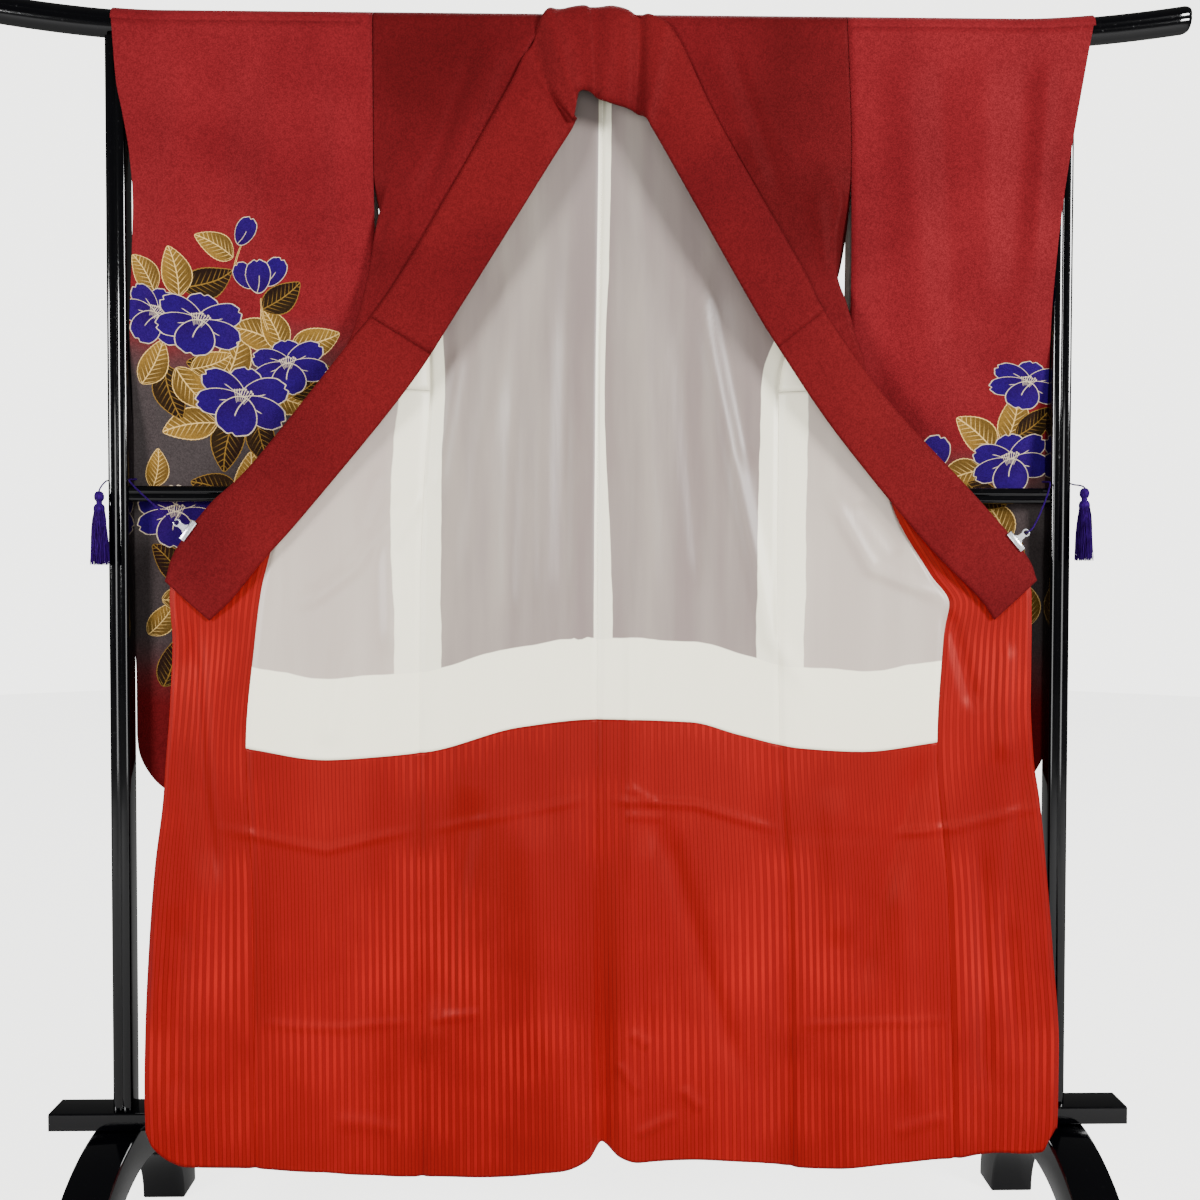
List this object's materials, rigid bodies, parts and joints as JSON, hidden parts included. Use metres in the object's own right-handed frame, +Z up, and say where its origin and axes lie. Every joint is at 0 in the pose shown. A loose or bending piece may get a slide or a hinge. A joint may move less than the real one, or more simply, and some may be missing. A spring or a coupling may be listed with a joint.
{
  "type": "furisode kimono on kimono stand",
  "caption": "Long-sleeve silk kimono opened wide over a black lacquer stand, lining to the front, collar held out by clips with purple tassels.",
  "frame": {"origin": "on the floor under the middle of the stand", "axes": "+X across the stand to the viewer's right, +Y away from the viewer (the garment's outside back), +Z up"},
  "size_m": [1.67, 0.44, 1.7685],
  "materials": {
    "crepe": "deep red silk crepe with a granular weave",
    "lining_silk": "pinkish white plain silk, soft sheen",
    "hem_satin": "bright red satin-striped silk",
    "lacquer": "black gloss lacquer",
    "chrome": "bright chrome",
    "purple_silk": "twisted silk, soft sheen"
  },
  "bodies": {
    "root": {"body_left": "crepe", "okumi_left": "crepe", "lining_back_left": "lining_silk", "lining_front_left": "lining_silk", "hem_lining_back_left": "hem_satin", "hem_lining_front_left": "hem_satin", "hem_lining_okumi_left": "hem_satin", "body_right": "crepe", "okumi_right": "crepe", "lining_back_right": "lining_silk", "lining_front_right": "lining_silk", "hem_lining_back_right": "hem_satin", "hem_lining_front_right": "hem_satin", "hem_lining_okumi_right": "hem_satin", "sleeve_left": "crepe", "sleeve_right": "crepe", "collar": "crepe", "over_collar": "crepe", "top_rail": "lacquer", "post_left": "lacquer", "foot_left": "lacquer", "post_right": "lacquer", "foot_right": "lacquer", "middle_rail": "lacquer", "base_board": "lacquer", "clip_left": "chrome", "cord_left": "purple_silk", "tassel_left": "purple_silk", "clip_right": "chrome", "cord_right": "purple_silk", "tassel_right": "purple_silk"}
  },
  "joints": []
}
